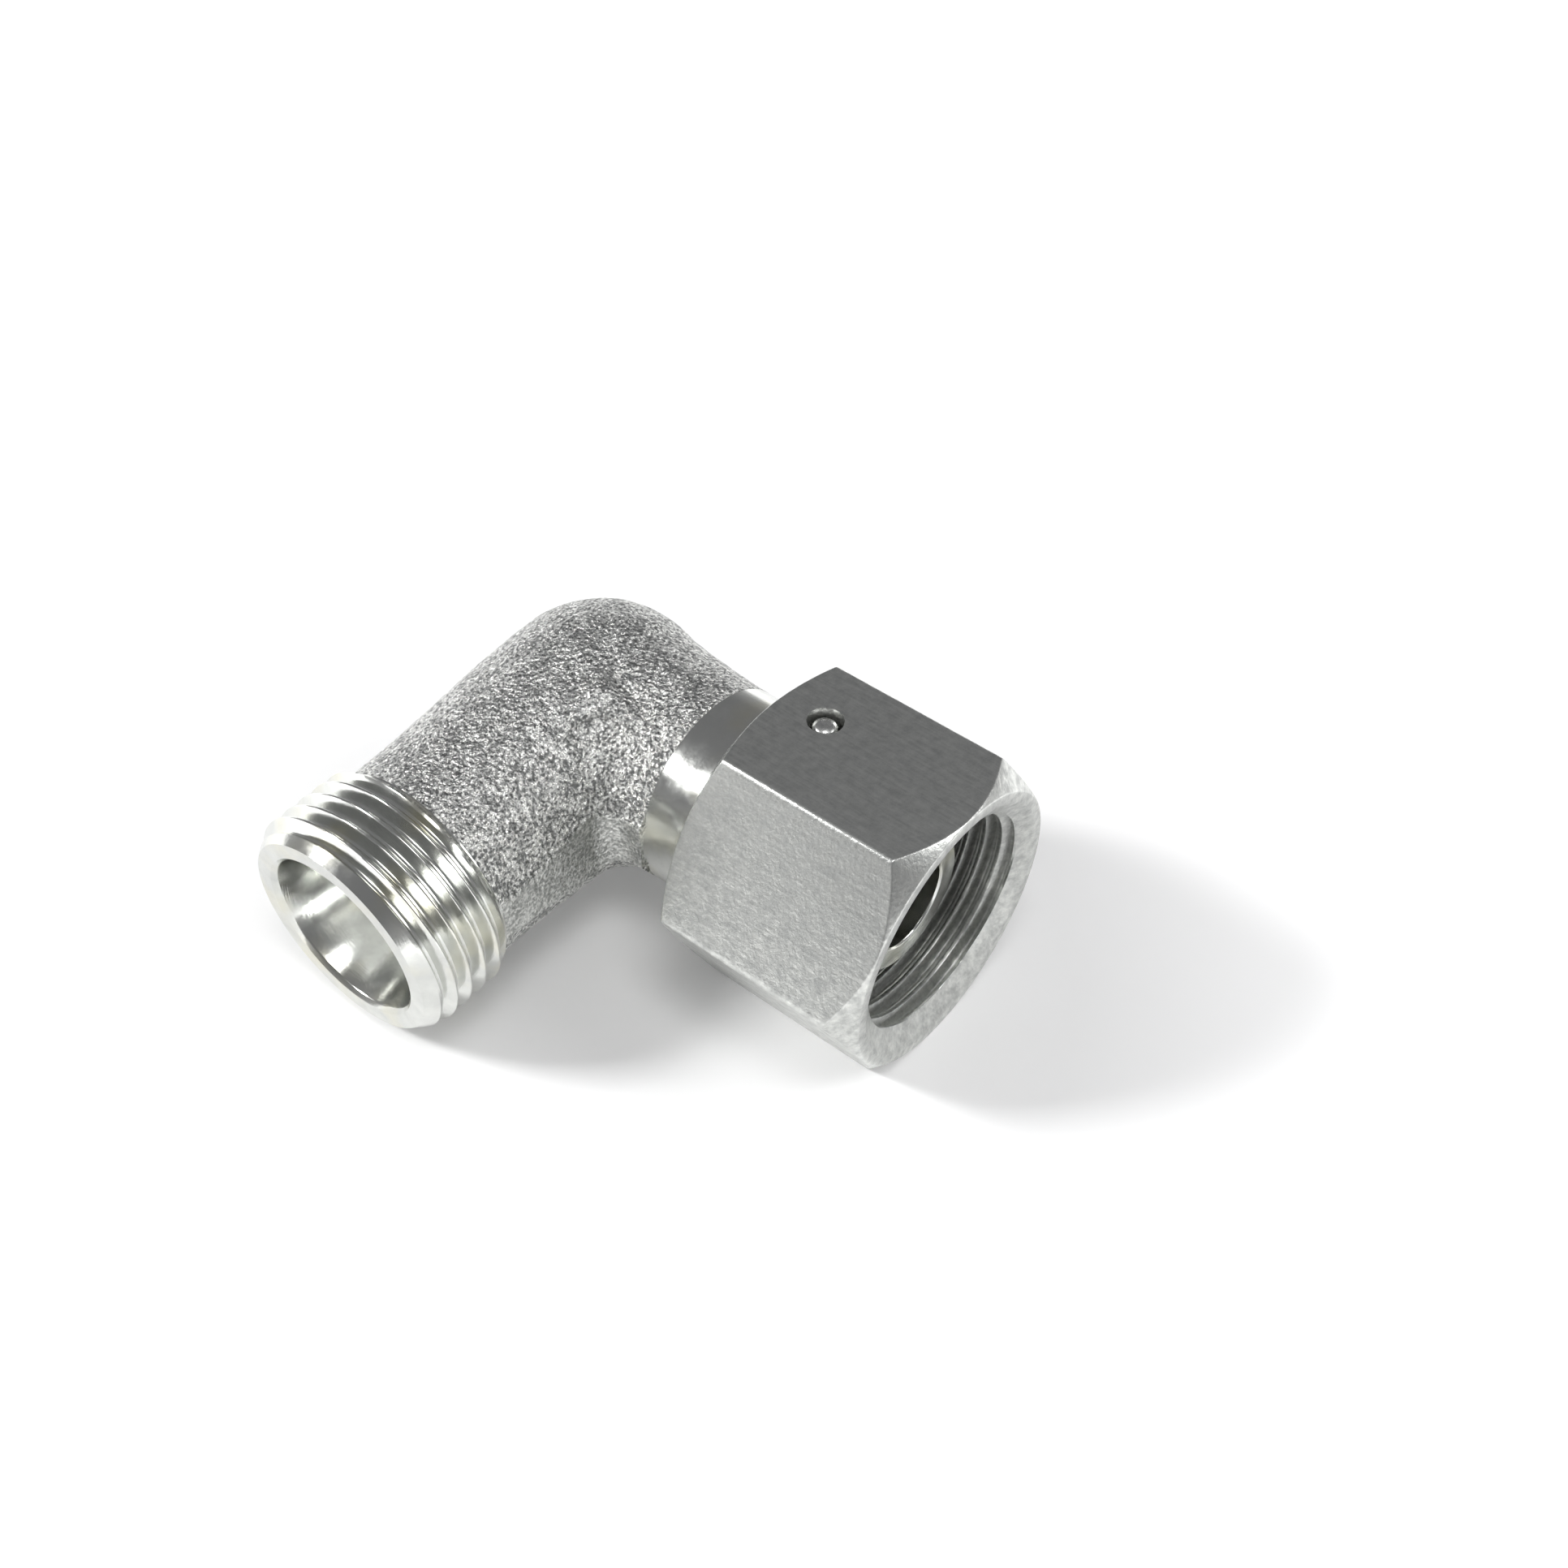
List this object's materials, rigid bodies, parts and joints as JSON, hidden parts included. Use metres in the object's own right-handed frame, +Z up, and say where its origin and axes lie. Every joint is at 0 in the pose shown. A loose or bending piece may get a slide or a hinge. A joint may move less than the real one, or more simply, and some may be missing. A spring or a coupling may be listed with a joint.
{
  "type": "hydraulic elbow",
  "caption": "Adjustable 90 degree hydraulic elbow: a forged steel body with a threaded 24 degree cone end and a wire-held swivel nut over a sealing cone with an O-ring.",
  "frame": {"origin": "middle of the part's footprint, on the floor that it lies on", "axes": "+Y along the nut's axis towards its mouth, +X along the male arm seen from above, +Z up"},
  "size_m": [0.044, 0.0458, 0.024],
  "materials": {
    "forged_body": "shot-blasted and zinc plated, turned bright at the thread, cone and collar",
    "nut": "satin zinc plating on drawn hexagon steel",
    "wire": "bright zinc plating",
    "seal": "smooth black nitrile"
  },
  "bodies": {
    "elbow": {"elbow_body": "forged_body", "o_ring": "seal"},
    "nut": {"swivel_nut": "nut", "retaining_wire": "wire"}
  },
  "joints": [
    {"name": "nut_swivel", "type": "hinge", "parent": "elbow", "child": "nut", "pos_m": [-0.0081, -0.0129, 0.012], "axis": [0, 1, 0], "continuous": true}
  ]
}
